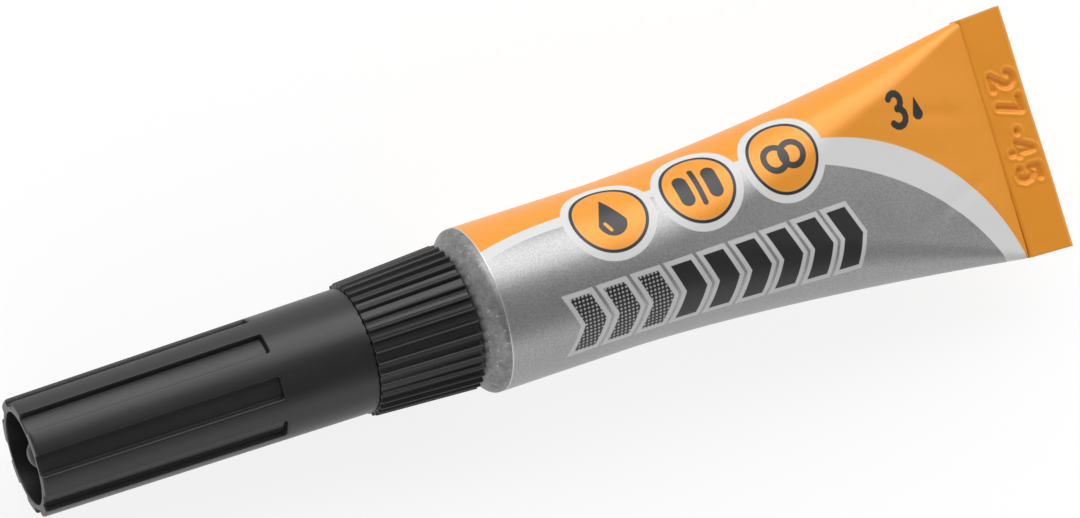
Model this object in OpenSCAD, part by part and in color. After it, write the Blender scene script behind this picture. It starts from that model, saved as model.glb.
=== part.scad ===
// Super glue tube, lying on its side: cap towards -X, folded end towards +X, +Z up.
// The round pieces are drawn upright along Z, measured from the cap's free end,
// and then laid down on the tube's axis.

/* [Tube] */
// Outer diameter of the round barrel
barrel_d = 13.5; // [13:0.1:16]
// Wall of the aluminium sleeve
wall = 0.12; // [0.1:0.01:0.2]
// Length of the barrel that stays round
round_len = 11.5; // [8:0.1:14]
// Length of the wedge from the round barrel to the folded end
taper_len = 35.8; // [30:0.2:50]
// How late the wedge flattens (1 is a straight wedge)
flat_power = 1.55; // [1.2:0.05:2.2]
// Bevelled shoulder: length of the straight land behind its edge
rim_land = 0.45; // [0.3:0.05:1]
// Rounding of the shoulder's edge
rim_round = 0.4; // [0.2:0.05:0.6]
// Wall of the shoulder
shoulder_wall = 0.45; // [0.35:0.05:0.7]

/* [Folded end] */
// Length of the folded strip
fold_len = 4.5; // [3.5:0.1:6]
// Thickness of the folded strip
fold_t = 1.1; // [1:0.05:1.4]
// Width of the strip at its fold line
fold_w = 20.5; // [19.6:0.1:21]
// Width of the strip at its free edge
fold_end_w = 20.9; // [20.5:0.1:22]
// How far the strip stands proud of the wedge on each face
fold_lip = 0.13; // [0.08:0.01:0.2]
// Length of the sealing strip in the fold
seal_len = 3.2; // [2:0.1:3.4]
// Thickness of the sealing strip
seal_t = 0.16; // [0.1:0.01:0.2]
// Metal left beside the ends of the sealing strip
seal_margin = 0.5; // [0.4:0.05:0.8]

/* [Neck] */
// Outer diameter of the neck
neck_d = 7; // [6.6:0.1:7.4]
// Length of the straight neck
neck_len = 4.6; // [4:0.1:5.5]
// Wall of the neck
neck_wall = 0.7; // [0.5:0.05:0.9]
// Thickness of the membrane that closes the neck
membrane_t = 0.12; // [0.1:0.01:0.2]

/* [Nozzle] */
// Length of the ribbed collar
collar_len = 8.6; // [8.2:0.1:10]
// Diameter over the ribs at the cap
collar_front_d = 10.84; // [10.6:0.02:11.2]
// Diameter over the ribs at the shoulder
collar_back_d = 11.9; // [11.6:0.1:12.4]
// Width of the collar's flat back face, outside its seat
collar_back_land = 0.65; // [0.5:0.05:0.8]
// Number of ribs round the collar
ribs = 36; // [24:1:40]
// Depth of the valleys between the ribs at the shoulder
rib_depth = 0.45; // [0.3:0.05:0.5]
// Length of the thread spigot for the cap
spigot_len = 5; // [4:0.1:6]
// Diameter of the thread spigot
spigot_d = 7.2; // [7:0.1:7.6]
// Reach of the nozzle's tip in front of the collar
nozzle_reach = 16.4; // [14:0.1:17]
// Diameter of the nozzle's cone at the spigot
cone_d = 5.2; // [4.4:0.1:5.6]
// Diameter of the nozzle's tip
tip_d = 2; // [1.8:0.1:2.6]
// Diameter of the outlet
outlet_d = 1.1; // [1:0.02:1.2]
// Length of the straight outlet
outlet_len = 5; // [4:0.1:6]
// Wall of the nozzle's cone at the spigot
nozzle_wall = 0.9; // [0.7:0.05:1.1]

/* [Cap] */
// Length of the cap
cap_len = 27.4; // [27:0.2:32]
// Outer diameter at the free end
cap_end_d = 9.36; // [9.2:0.02:9.8]
// Outer diameter at the mouth
cap_mouth_d = 10.2; // [10:0.02:10.4]
// Number of flutes
flutes = 8; // [6:1:10]
// Width of a flute, in degrees
flute_arc = 20.5; // [14:0.5:26]
// Depth of a flute
flute_depth = 0.5; // [0.3:0.05:0.6]
// Length of the flutes from the free end
flute_len = 19.7; // [16:0.1:22]
// Turn of the flutes about the axis
flute_turn = 8.4; // [0:0.1:45]
// Depth of the piercing socket
socket_depth = 7; // [6.5:0.1:8]
// Gap between the socket and the neck that it slips over
socket_gap = 0.2; // [0.1:0.01:0.25]
// Diameter of the piercing spike at its foot
spike_d = 3.4; // [2.6:0.1:4]
// Diameter of the piercing spike below its point
spike_top_d = 2.4; // [1.6:0.1:2.5]
// Diameter of the spike's blunt point
spike_point_d = 1; // [0.6:0.1:1.4]
// Length of the spike's conical point
spike_point_len = 0.5; // [0.3:0.05:0.8]
// How far the spike's point lies inside the socket
spike_inset = 0.4; // [0.2:0.05:1]
// Web between the socket and the cavity
web_t = 1.4; // [1.2:0.1:2]
// Length of the boss that holds the pin
boss_len = 1.5; // [1:0.1:1.6]
// Diameter of that boss
boss_d = 2.6; // [2:0.1:3]
// Diameter of the cavity at the web
cavity_d = 5; // [4.6:0.1:5.6]

/* [Pin] */
// Diameter of the anti-clog pin
pin_d = 0.9; // [0.7:0.02:0.96]
// Reach of the pin into the outlet
pin_reach = 3.5; // [2:0.1:3.8]
// Depth of the pin's seat in the cap
pin_seat = 2.4; // [1.8:0.1:2.6]

/* [Glue] */
// Height of the glue's level above the tube's axis, with the tube lying down
glue_level = 0.2; // [-1:0.1:2]

/* [Clearances] */
// Radial clearance of the screwed fits
thread_gap = 0.05; // [0.03:0.01:0.1]
// Radial clearance of the pin in the cap
pin_gap = 0.02; // [0.01:0.01:0.04]
// Clearance between the collar's mouth and the shoulder
seat_gap = 0.05; // [0.03:0.01:0.1]
// Clearance round the glue
fill_gap = 0.06; // [0.05:0.01:0.1]
// Clearance between the sealing strip and the fold's layers
seal_gap = 0.02; // [0.01:0.01:0.04]

/* [Hidden] */
$fn = 96;

// edge breaks of the mouldings
edge = 0.2;
fine_edge = 0.1;
// cutters reach this far past what they cut
over = 1;

barrel_r = barrel_d / 2;
neck_r = neck_d / 2;
spigot_r = spigot_d / 2;
socket_r = neck_r + socket_gap;
cap_bore_r = spigot_r + thread_gap;
neck_bore_r = neck_r + thread_gap;

// stations along the axis, from the cap's free end
web_at = socket_depth + web_t;
boss_at = web_at + boss_len;
collar_at = cap_len;
spigot_at = collar_at - spigot_len;
tip_at = collar_at - nozzle_reach;
collar_end = collar_at + collar_len;
// the shoulder is a 45 degree cone, whose foot is the neck's root
collar_seat_depth = collar_back_d / 2 - collar_back_land - neck_r;
neck_root = collar_end - collar_seat_depth;
neck_end = neck_root - neck_len;
rim_at = neck_root + barrel_r - neck_r;
barrel_at = rim_at + rim_land;
wedge_at = barrel_at + round_len;
fold_at = wedge_at + taper_len;
total_len = fold_at + fold_len;

// half thickness of the wedge where the folded strip begins
wedge_end_b = fold_t / 2 - fold_lip;

// share of the ribs' pitch that a valley takes at the flared end
valley_share = 0.96;
// radius of the anti-clog pin's blunt point
pin_point_r = pin_d / 6;

// rings and points of the wedge's skin
skin_rings = 18;
skin_sides = 64;
fill_rings = 10;
fill_sides = 32;
// the wedge's facets start this much inside the true barrel
facet_inset = 0.01;
// turn of the barrel's seam about its axis, off the line that the barrel rests on
seam_turn = 2.5;

// half thickness of the wedge, u running from 0 at the barrel to 1 at the fold
function half_thick(u) = barrel_r - (barrel_r - wedge_end_b) * pow(max(u, 0), flat_power);
// half width: the flattened sleeve spreads as it thins
function half_width(u) =
    barrel_r + (fold_w / 2 - barrel_r) * (barrel_r - half_thick(u)) / (barrel_r - wedge_end_b);

// one section of the wedge: two round ends joined by flats, drawn in by an inset
function wedge_section(u, inset, sides) =
    let (b = half_thick(u) - inset, w = half_width(u) - inset)
    [for (k = [0 : sides - 1])
        let (a = 360 * (k + 0.5) / sides)
        [-b * cos(a), sign(sin(a)) * (w - b) + b * sin(a), wedge_at + taper_len * u]];

// the faces that join rings of points into a closed skin
function skin_faces(rings, sides) = concat(
    [[for (k = [0 : sides - 1]) sides - 1 - k]],
    [[for (k = [0 : sides - 1]) (rings - 1) * sides + k]],
    [for (r = [0 : rings - 2], k = [0 : sides - 1], half = [0, 1])
        let (a = r * sides + k, b = r * sides + (k + 1) % sides)
        half == 0 ? [a, b, a + sides] : [b, b + sides, a + sides]]);

module wedge_solid(inset, rings, sides, start) {
    // start is a share of the wedge's length, below 0 inside the barrel
    stations = [for (r = [0 : rings - 1]) start + (1 - start) * r / (rings - 1)];
    points = [for (u = stations) each wedge_section(u, inset, sides)];
    polyhedron(points, skin_faces(rings, sides), convexity = 4);
}

module lay_down() {
    translate([-total_len / 2, 0, barrel_r])
        rotate([0, 90, 0])
            children();
}

// points of a quarter round between two directions, for the revolved outlines
function arc(centre, r, from, to, steps = 4) =
    [for (i = [0 : steps])
        let (a = from + (to - from) * i / steps)
        [centre[0] + r * cos(a), centre[1] + r * sin(a)]];

// ---- tube body ----

// the shoulder's edge, rounded between the 45 degree cone and the barrel
rim_centre = [barrel_r - rim_round, rim_at + rim_round * tan(22.5)];

module barrel_outside() {
    rotate([0, 0, seam_turn])
        rotate_extrude()
            polygon(concat(
                [[0, neck_end], [neck_r - edge, neck_end]],
                [[neck_r, neck_end + edge], [neck_r, neck_root]],
                arc(rim_centre, rim_round, -45, 0),
                [[barrel_r, wedge_at], [0, wedge_at]]));
}

// the hollow of the neck, shoulder and barrel, drawn in by a gap for what fills it
module barrel_inside(gap) {
    bore_r = neck_r - neck_wall - gap;
    inner_r = barrel_r - wall - gap;
    floor_at = neck_end + membrane_t + gap;
    // the inner cone runs parallel to the outer one: its station is its radius plus this
    cone_foot = neck_root - neck_r + (shoulder_wall + gap) / cos(45);
    rotate([0, 0, seam_turn])
        rotate_extrude()
            polygon([
                [0, floor_at],
                [bore_r, floor_at],
                [bore_r, bore_r + cone_foot],
                [inner_r, inner_r + cone_foot],
                [inner_r, wedge_at],
                [0, wedge_at]]);
}

module folded_strip() {
    // drawn flat in the plane of the strip, then cut to its rounded edge
    intersection() {
        translate([fold_t / 2, 0, 0])
            rotate([0, -90, 0])
                linear_extrude(fold_t)
                    polygon([
                        [fold_at - edge, -fold_w / 2], [fold_at - edge, fold_w / 2],
                        [fold_at, fold_w / 2], [total_len, fold_end_w / 2],
                        [total_len, -fold_end_w / 2], [fold_at, -fold_w / 2]]);
        rotate([90, 0, 0])
            linear_extrude(fold_end_w + over, center = true)
                strip_profile();
    }
}

// side view of the folded strip: square at the fold line, round at its free edge
module strip_profile() {
    r = fold_t / 2;
    polygon(concat(
        [[-r, fold_at - edge], [r, fold_at - edge]],
        arc([0, total_len - r], r, 0, 180, 12)));
}

module seal_slot(gap) {
    // the strip between the layers of the fold
    width = fold_w - 2 * seal_margin + 2 * gap;
    translate([-seal_t / 2 - gap, -width / 2, fold_at])
        cube([seal_t + 2 * gap, width, seal_len + gap]);
}

module tube_body() {
    color("silver")
        lay_down()
            difference() {
                union() {
                    barrel_outside();
                    wedge_solid(facet_inset, skin_rings, skin_sides, -over / taper_len);
                    folded_strip();
                }
                barrel_inside(0);
                wedge_solid(wall + facet_inset, skin_rings, skin_sides, -over / taper_len);
                seal_slot(seal_gap);
            }
}

module end_seal() {
    color("ivory")
        lay_down()
            seal_slot(0);
}

module glue_fill() {
    color("lightblue")
        lay_down()
            intersection() {
                union() {
                    barrel_inside(fill_gap);
                    wedge_solid(wall + 2 * fill_gap, fill_rings, fill_sides, -over / taper_len);
                }
                // everything below the glue's level
                translate([-glue_level, -fold_w, 0])
                    cube([barrel_d, 2 * fold_w, fold_at - fold_len]);
            }
}

// ---- nozzle ----

module nozzle_blank() {
    tip_r = tip_d / 2;
    cone_r = cone_d / 2;
    outlet_r = outlet_d / 2;
    front_r = collar_front_d / 2;
    back_r = collar_back_d / 2;
    // the collar's mouth follows the shoulder's cone
    mouth_r = neck_r + collar_seat_depth + seat_gap;
    rotate_extrude()
        polygon([
            [outlet_r, tip_at],
            [tip_r - fine_edge, tip_at],
            [tip_r, tip_at + fine_edge],
            [cone_r, spigot_at],
            [spigot_r - 2 * edge, spigot_at],
            [spigot_r, spigot_at + 2 * edge],
            [spigot_r, collar_at],
            [front_r - fine_edge, collar_at],
            [front_r, collar_at + fine_edge],
            [back_r, collar_end - fine_edge],
            [back_r - fine_edge, collar_end],
            [mouth_r, collar_end],
            [neck_bore_r, collar_end - mouth_r + neck_bore_r],
            [neck_bore_r, neck_end],
            [cone_r, neck_end],
            [cone_r - nozzle_wall, spigot_at],
            [outlet_r, tip_at + outlet_len]]);
}

// V-shaped valleys cut between the ribs, from the cap's own radius out to the flared end
module rib_valleys() {
    valley_front = cap_mouth_d / 2;
    valley_back = collar_back_d / 2 - rib_depth;
    lean = atan((valley_back - valley_front) / collar_len);
    // at the flared end the valleys leave narrow crests between them
    spread = valley_share * tan(180 / ribs) * collar_back_d / 2 / rib_depth;
    for (i = [0 : ribs - 1])
        rotate([0, 0, 360 * i / ribs])
            translate([valley_front, 0, collar_at])
                rotate([0, lean, 0])
                    translate([0, 0, -over])
                        linear_extrude(collar_len + 2 * over)
                            polygon([[0, 0], [over, -over * spread], [over, over * spread]]);
}

module nozzle() {
    color("dimgray")
        lay_down()
            difference() {
                nozzle_blank();
                rib_valleys();
            }
}

// ---- cap and its pin ----

module cap_pin() {
    r = pin_d / 2;
    pin_at = boss_at - pin_seat;
    pin_end = tip_at + pin_reach;
    color("lightsteelblue")
        lay_down()
            rotate_extrude()
                polygon([
                    [0, pin_at], [r, pin_at], [r, pin_end - pin_d],
                    [pin_point_r, pin_end], [0, pin_end]]);
}

// outer radius of the cap at a station
function cap_r(z) = (cap_end_d + (cap_mouth_d - cap_end_d) * z / cap_len) / 2;

module cap_blank() {
    end_r = cap_end_d / 2;
    mouth_r = cap_mouth_d / 2;
    seat_r = pin_d / 2 + pin_gap;
    // the cavity narrows from behind the thread to the web
    cavity_mouth_r = cap_bore_r - 2 * edge;
    rotate_extrude()
        polygon([
            [0, spike_inset],
            [spike_point_d / 2, spike_inset],
            [spike_top_d / 2, spike_inset + spike_point_len],
            [spike_d / 2, socket_depth],
            [socket_r, socket_depth],
            [socket_r, fine_edge],
            [socket_r + fine_edge, 0],
            [end_r - edge, 0],
            [end_r, edge],
            [mouth_r - fine_edge / 2, collar_at - fine_edge],
            [mouth_r - fine_edge, collar_at],
            [cap_bore_r + edge, collar_at],
            [cap_bore_r, collar_at - edge],
            [cap_bore_r, spigot_at - edge],
            [cavity_mouth_r, spigot_at - edge],
            [cavity_d / 2, web_at],
            [boss_d / 2, web_at],
            [boss_d / 2, boss_at],
            [seat_r, boss_at],
            [seat_r, boss_at - pin_seat],
            [0, boss_at - pin_seat]]);
}

// one flute: a slice of the cap's skin that follows its taper
module flute() {
    rotate([0, 0, -flute_arc / 2])
        rotate_extrude(angle = flute_arc)
            polygon([
                [cap_r(-over) - flute_depth, -over],
                [cap_r(-over) + over, -over],
                [cap_r(flute_len) + over, flute_len],
                [cap_r(flute_len) - flute_depth, flute_len]]);
}

module cap() {
    color("black")
        lay_down()
            difference() {
                cap_blank();
                for (i = [0 : flutes - 1])
                    rotate([0, 0, flute_turn + 360 * i / flutes])
                        flute();
            }
}

tube_body();
end_seal();
glue_fill();
nozzle();
cap_pin();
cap();
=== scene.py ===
"""Looks of the super glue tube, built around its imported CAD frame.

The tube lies along X with its cap towards -X. A station is a distance in mm along the axis from
the cap's free end. A clock angle is measured in degrees round the axis from the top (+Z) towards
+Y. Lengths are in mm, and place() turns points into metres of the row frame.
"""

import math

import bmesh
import bpy
import numpy as np
from mathutils import Matrix, Vector


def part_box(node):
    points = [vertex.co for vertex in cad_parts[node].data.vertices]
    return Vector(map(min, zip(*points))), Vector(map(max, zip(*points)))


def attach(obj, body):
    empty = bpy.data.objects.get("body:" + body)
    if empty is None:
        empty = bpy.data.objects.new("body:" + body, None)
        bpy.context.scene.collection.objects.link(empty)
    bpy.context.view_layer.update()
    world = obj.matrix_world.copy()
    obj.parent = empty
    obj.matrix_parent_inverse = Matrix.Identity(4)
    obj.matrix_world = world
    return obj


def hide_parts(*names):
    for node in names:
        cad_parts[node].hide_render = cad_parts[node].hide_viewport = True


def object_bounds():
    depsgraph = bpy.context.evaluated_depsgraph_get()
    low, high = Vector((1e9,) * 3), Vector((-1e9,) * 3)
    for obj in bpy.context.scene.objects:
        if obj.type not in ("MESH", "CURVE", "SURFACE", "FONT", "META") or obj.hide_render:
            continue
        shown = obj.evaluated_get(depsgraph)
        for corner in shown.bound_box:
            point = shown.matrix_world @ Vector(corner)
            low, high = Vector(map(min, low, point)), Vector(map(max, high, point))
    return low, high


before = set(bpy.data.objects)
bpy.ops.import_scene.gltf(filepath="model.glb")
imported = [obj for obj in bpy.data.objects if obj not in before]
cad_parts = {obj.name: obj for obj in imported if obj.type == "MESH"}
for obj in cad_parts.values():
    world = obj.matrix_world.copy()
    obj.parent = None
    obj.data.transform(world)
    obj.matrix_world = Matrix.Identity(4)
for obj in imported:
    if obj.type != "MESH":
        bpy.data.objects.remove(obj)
cad_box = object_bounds()

MM = 0.001
FULL_TURN = 360.0
HALF_TURN = 180

# ---- places read from the frame ----

START_X = cad_box[0].x
AXIS_Z = (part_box("cap")[0].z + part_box("cap")[1].z) / 2
CAP_LEN = (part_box("cap")[1].x - START_X) / MM
COLLAR_END = (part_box("nozzle")[1].x - START_X) / MM
TIP_AT = (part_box("nozzle")[0].x - START_X) / MM
NECK_END = (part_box("tube_body")[0].x - START_X) / MM
TOTAL_LEN = (cad_box[1].x - START_X) / MM
BARREL_R = (cad_box[1].z - cad_box[0].z) / MM / 2
CAP_MOUTH_R = (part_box("cap")[1].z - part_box("cap")[0].z) / MM / 2
COLLAR_BACK_R = (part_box("nozzle")[1].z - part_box("nozzle")[0].z) / MM / 2
STRIP_END_HALF = (cad_box[1].y - cad_box[0].y) / MM / 2

# ---- sizes that follow the part's source: _R is a radius, _AT and _END are stations ----

# cap: the outside, the socket with its spike, then the hollow behind the web
CAP_END_R = 4.68
FLUTES = 8
FLUTE_TURN = -8.4
FLUTE_HALF_ARC = 10.2
FLUTE_DEPTH = 0.5
FLUTE_LEN = 19.7
SOCKET_R = 3.7
SOCKET_DEPTH = 7.0
SPIKE_INSET = 0.4
SPIKE_POINT_R = 0.5
SPIKE_POINT_LEN = 0.5
SPIKE_TOP_R = 1.2
SPIKE_FOOT_R = 1.7
WEB_AT = 8.4
CAVITY_R = 2.5
BOSS_AT = 9.9
BOSS_R = 1.3
PIN_SEAT_AT = 7.5
PIN_SEAT_R = 0.47
CAP_BORE_R = 3.65

# nozzle: the tip, the spigot for the cap, then the collar. RIB_ pairs are valley and crest.
TIP_R = 1.0
OUTLET_R = 0.55
OUTLET_LEN = 5.0
CONE_R = 2.6
NOZZLE_WALL = 0.9
SPIGOT_R = 3.6
SPIGOT_LEN = 5.0
SPIGOT_AT = CAP_LEN - SPIGOT_LEN
RIBS = 36
RIB_FRONT = (5.10, 5.42)
RIB_BACK = (5.50, COLLAR_BACK_R)
COLLAR_BACK_LAND = 0.6

# tube: the neck, the shoulder, the barrel, the wedge and the folded strip
NECK_R = 3.5
NECK_BORE_R = 3.55
NECK_LEN = 4.6
RIM_AT = 37.45
PRINT_AT = 37.86
WEDGE_AT = 49.4
FOLD_AT = 85.2
FLAT_POWER = 1.55
WEDGE_END_B = 0.42
FOLD_HALF = 10.25
STRIP_T = 1.1

# threads, which the solids leave plain. _SHARE is a part of the pitch.
CAP_PITCH = 2.0
CAP_THREAD_DEPTH = 0.3
NECK_PITCH = 1.5
NECK_THREAD_DEPTH = 0.28
RIDGE_SHARE = 0.34
BORE_RIDGE_SHARE = 0.5
FLANK_SHARE = 0.16
NECK_FLANK_SHARE = 0.2
# each thread lies between two stations and runs out over this length at both
BORE_THREAD = (SPIGOT_AT + 0.3, CAP_LEN - 0.55)
SPIGOT_THREAD = (SPIGOT_AT + 0.35, CAP_LEN - 0.35)
NECK_THREAD = (NECK_END + 0.4, NECK_END + NECK_LEN - 0.6)
THREAD_RUN_OUT = 0.5
THREAD_ROW = 0.125


def place(s, y, z):
    """A point at station s, y and z from the axis, in metres of the row frame."""
    return START_X + s * MM, y * MM, AXIS_Z + z * MM


# ---- mesh helpers ----

# points closer than this become one, in metres
WELD_M = 1e-7


def finish_mesh(name, mesh, body, nodes, sharp):
    """Turns a mesh into a piece that rides on a body and stands for CAD nodes. Edges over sharp
    degrees stay hard."""
    work = bmesh.new()
    work.from_mesh(mesh)
    bmesh.ops.remove_doubles(work, verts=work.verts, dist=WELD_M)
    bmesh.ops.recalc_face_normals(work, faces=work.faces)
    work.to_mesh(mesh)
    work.free()
    mesh.shade_smooth()
    mesh.set_sharp_from_angle(angle=math.radians(sharp))
    piece = bpy.data.objects.new(name, mesh)
    bpy.context.scene.collection.objects.link(piece)
    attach(piece, body)
    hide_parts(*nodes)
    return piece


def grid_mesh(name, rings, loop, values=None):
    """Skin over an array of closed rings (rows, points, 3) in mm. loop also joins the last ring to
    the first. values, one row of three numbers a point, becomes the attribute label."""
    rows, count, _ = rings.shape
    points = np.stack(place(rings[..., 0], rings[..., 1], rings[..., 2]), -1).reshape(-1, 3)
    here = np.arange(count)
    after = (here + 1) % count
    faces = []
    for row in range(rows if loop else rows - 1):
        a, b = row * count, (row + 1) % rows * count
        faces += np.stack([a + here, a + after, b + after, b + here], -1).tolist()
    if not loop:
        faces += [here[::-1].tolist(), ((rows - 1) * count + here).tolist()]
    mesh = bpy.data.meshes.new(name)
    mesh.from_pydata(points.tolist(), [], faces)
    if values is not None:
        made = mesh.attributes.new("label", "FLOAT_VECTOR", "POINT")
        made.data.foreach_set("vector", values.reshape(-1).astype(np.float32))
    return mesh


def turned(outline, angles, shape=None):
    """Rings of an outline of (station, radius) points turned round the axis. shape(s, r, angle)
    gives the radius where it changes round the turn."""
    s, r = (np.array(column)[:, None] for column in zip(*outline))
    a = np.radians(np.asarray(angles))[None, :]
    around = np.broadcast_to(r, (len(outline), a.shape[1])).copy()
    if shape:
        around = shape(s, around, np.degrees(a))
    return np.stack([np.broadcast_to(s, around.shape), around * np.sin(a), around * np.cos(a)], -1)


def corner(s, r, ease=0.0):
    """A corner of a turned outline. ease is how far its curve reaches along each side."""
    return s, r, ease


# a corner's curve takes at most this share of a side, so that two of them never meet
EASE_SHARE = 0.49


def rounded(corners, steps=5):
    """Outline of (station, radius) points through corners, each eased by its own curve."""
    points = [Vector(row[:2]) for row in corners]
    out = []
    for i, (_, _, ease) in enumerate(corners):
        here = points[i]
        if ease == 0 or i in (0, len(corners) - 1):
            out.append(tuple(here))
            continue
        back, on = points[i - 1] - here, points[i + 1] - here
        first = here + back.normalized() * min(ease, back.length * EASE_SHARE)
        last = here + on.normalized() * min(ease, on.length * EASE_SHARE)
        for k in range(steps + 1):
            t = k / steps
            spot = first.lerp(here, t).lerp(here.lerp(last, t), t)
            out.append(tuple(spot))
    return out


def smooth(x):
    """Eases from 0 to 1 as x does."""
    x = np.clip(x, 0, 1)
    return x * x * (3 - 2 * x)


def between(s, start, end, run_in, run_out):
    """1 between two stations, eased to 0 towards them over the lengths run_in and run_out."""
    return smooth((s - start) / run_in) * smooth((end - s) / run_out)


def gauss(x, width):
    """1 where x is 0, and falling off on both sides."""
    return np.exp(-(x / width) ** 2)


def thread(s, angle, pitch, ends, share, flank, phase=0.0):
    """Height of a right-hand thread at a station and clock angle: 1 on its crest, 0 in its root
    and beyond its ends. share is the ridge's part of the pitch, flank that of each side of it."""
    off = np.abs((s / pitch + angle / FULL_TURN + phase + 0.5) % 1 - 0.5)
    ridge = smooth((share / 2 + flank / 2 - off) / flank)
    return ridge * between(s, *ends, run_in=THREAD_RUN_OUT, run_out=THREAD_RUN_OUT)


# ---- shader helpers ----


class Num:
    """A shader value: each operation on it adds one Math node."""

    def __init__(self, tree, socket):
        self.tree, self.socket = tree, socket

    def op(self, name, *others, clamp=False):
        node = self.tree.nodes.new("ShaderNodeMath")
        node.operation, node.use_clamp = name, clamp
        for slot, value in zip(node.inputs, (self, *others)):
            if isinstance(value, Num):
                self.tree.links.new(value.socket, slot)
            else:
                slot.default_value = value
        return Num(self.tree, node.outputs[0])

    def __add__(self, other):
        return self.op("ADD", other)

    def __sub__(self, other):
        return self.op("SUBTRACT", other)

    def __mul__(self, other):
        return self.op("MULTIPLY", other)

    def __neg__(self):
        return self.op("MULTIPLY", -1.0)

    def min(self, other):
        return self.op("MINIMUM", other)

    def max(self, other):
        return self.op("MAXIMUM", other)

    def abs(self):
        return self.op("ABSOLUTE")

    def invert(self):
        """1 less this value."""
        return -self + 1.0

    def inside(self, soft=0.03):
        """1 where this distance is below 0, 0 where it is above, with a soft edge."""
        return (self * (-0.5 / soft) + 0.5).op("MINIMUM", 1.0, clamp=True)


class Vec:
    """A shader vector with the few operations that distances need."""

    def __init__(self, tree, socket):
        self.tree, self.socket = tree, socket

    def op(self, name, other=None, made=None):
        """made is Num for an operation that gives a number."""
        node = self.tree.nodes.new("ShaderNodeVectorMath")
        node.operation = name
        self.tree.links.new(self.socket, node.inputs[0])
        if isinstance(other, Vec):
            self.tree.links.new(other.socket, node.inputs[1])
        elif isinstance(other, Num):
            self.tree.links.new(other.socket, node.inputs["Scale"])
        elif other is not None:
            node.inputs[1].default_value = other
        if made is Num:
            return Num(self.tree, node.outputs["Value"])
        return Vec(self.tree, node.outputs["Vector"])

    def distance(self, spot):
        return self.op("DISTANCE", (*spot, 0), Num)

    def stroke(self, a, b, thick, thick_b=None):
        """Distance to a stroke from a to b with round ends, tapering from thick to thick_b."""
        along = Vector((*b, 0)) - Vector((*a, 0))
        from_a = self.op("SUBTRACT", (*a, 0))
        reach = from_a.op("DOT_PRODUCT", tuple(along / along.length_squared), Num)
        share = reach.op("MAXIMUM", 0.0, clamp=True)
        line = Vec(self.tree, self.constant(along)).op("SCALE", share)
        width = share * (thick - (thick if thick_b is None else thick_b)) - thick
        return from_a.op("DISTANCE", line, Num) + width

    def constant(self, value):
        node = self.tree.nodes.new("ShaderNodeCombineXYZ")
        for slot, number in zip(node.inputs, value):
            slot.default_value = number
        return node.outputs[0]

    def path(self, spots, thick):
        """Distance to a line of strokes."""
        return nearest([self.stroke(a, b, thick) for a, b in zip(spots, spots[1:])])


def nearest(distances):
    """Distance to whichever of several shapes is nearest."""
    reach = distances[0]
    for other in distances[1:]:
        reach = reach.min(other)
    return reach


# the range that holds nearly all of a noise, for remap
NOISE_SPAN = (0.3, 0.7)
NONE_TO_ALL = (0.0, 1.0)
ALL_TO_NONE = (1.0, 0.0)


class Paint:
    """One procedural material: its node tree with short forms for what the finishes use."""

    def __init__(self, name, **fixed):
        self.material = bpy.data.materials.new(name)
        self.material.use_nodes = True
        self.tree = self.material.node_tree
        self.shader = self.tree.nodes["Principled BSDF"]
        for key, value in fixed.items():
            self.shader.inputs[key.replace("_", " ")].default_value = value
        self.where = self.node("ShaderNodeTexCoord").outputs["Object"]

    def node(self, kind, **settings):
        made = self.tree.nodes.new(kind)
        for key, value in settings.items():
            setattr(made, key, value)
        return made

    def texture(self, kind, size_mm, stretch):
        """A texture of features about size_mm wide, stretched along the axes."""
        spread = self.node("ShaderNodeMapping")
        spread.inputs["Scale"].default_value = [1 / (size_mm * MM * k) for k in stretch]
        self.tree.links.new(self.where, spread.inputs["Vector"])
        made = self.node(kind)
        made.inputs["Scale"].default_value = 1.0
        self.tree.links.new(spread.outputs[0], made.inputs["Vector"])
        return made

    def noise(self, size_mm, detail, rough, stretch=(1, 1, 1), warp=0.0):
        made = self.texture("ShaderNodeTexNoise", size_mm, stretch)
        made.inputs["Detail"].default_value = detail
        made.inputs["Roughness"].default_value = rough
        made.inputs["Distortion"].default_value = warp
        return Num(self.tree, made.outputs[0])

    def cells(self, apart_mm):
        """Distance to the nearest point of a scatter, as a share of the distance between them."""
        made = self.texture("ShaderNodeTexVoronoi", apart_mm, (1, 1, 1))
        return Num(self.tree, made.outputs["Distance"])

    def label(self):
        """The three numbers that the mesh carries in its attribute label."""
        read = self.node("ShaderNodeAttribute", attribute_name="label")
        split = self.node("ShaderNodeSeparateXYZ")
        self.tree.links.new(read.outputs["Vector"], split.inputs[0])
        return [Num(self.tree, out) for out in split.outputs]

    def remap(self, value, span, result):
        """Takes the range span of a value to the range result, and holds it there."""
        made = self.node("ShaderNodeMapRange")
        for slot, number in zip(list(made.inputs)[1:5], (*span, *result)):
            slot.default_value = number
        self.tree.links.new(value.socket, made.inputs[0])
        return Num(self.tree, made.outputs[0])

    def blend(self, share, first, second):
        """Colour that goes from first to second with share. Each is a colour or a socket."""
        made = self.node("ShaderNodeMix", data_type="RGBA")
        mix_a, mix_b = made.inputs[6], made.inputs[7]
        self.tree.links.new(share.socket, made.inputs[0])
        for slot, value in ((mix_a, first), (mix_b, second)):
            if isinstance(value, tuple):
                slot.default_value = (*value, 1)
            else:
                self.tree.links.new(value, slot)
        return made.outputs[2]

    def set(self, key, value):
        socket = value.socket if isinstance(value, Num) else value
        self.tree.links.new(socket, self.shader.inputs[key])

    def bump(self, *layers):
        """Relief of (height, depth in mm) layers, each laid over the one before it."""
        normal = None
        for height, depth_mm in layers:
            made = self.node("ShaderNodeBump")
            made.inputs["Strength"].default_value = 1.0
            made.inputs["Distance"].default_value = depth_mm * MM
            self.tree.links.new(height.socket, made.inputs["Height"])
            if normal is not None:
                self.tree.links.new(normal, made.inputs["Normal"])
            normal = made.outputs[0]
        self.tree.links.new(normal, self.shader.inputs["Normal"])


def grey(value):
    return value, value, value


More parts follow.
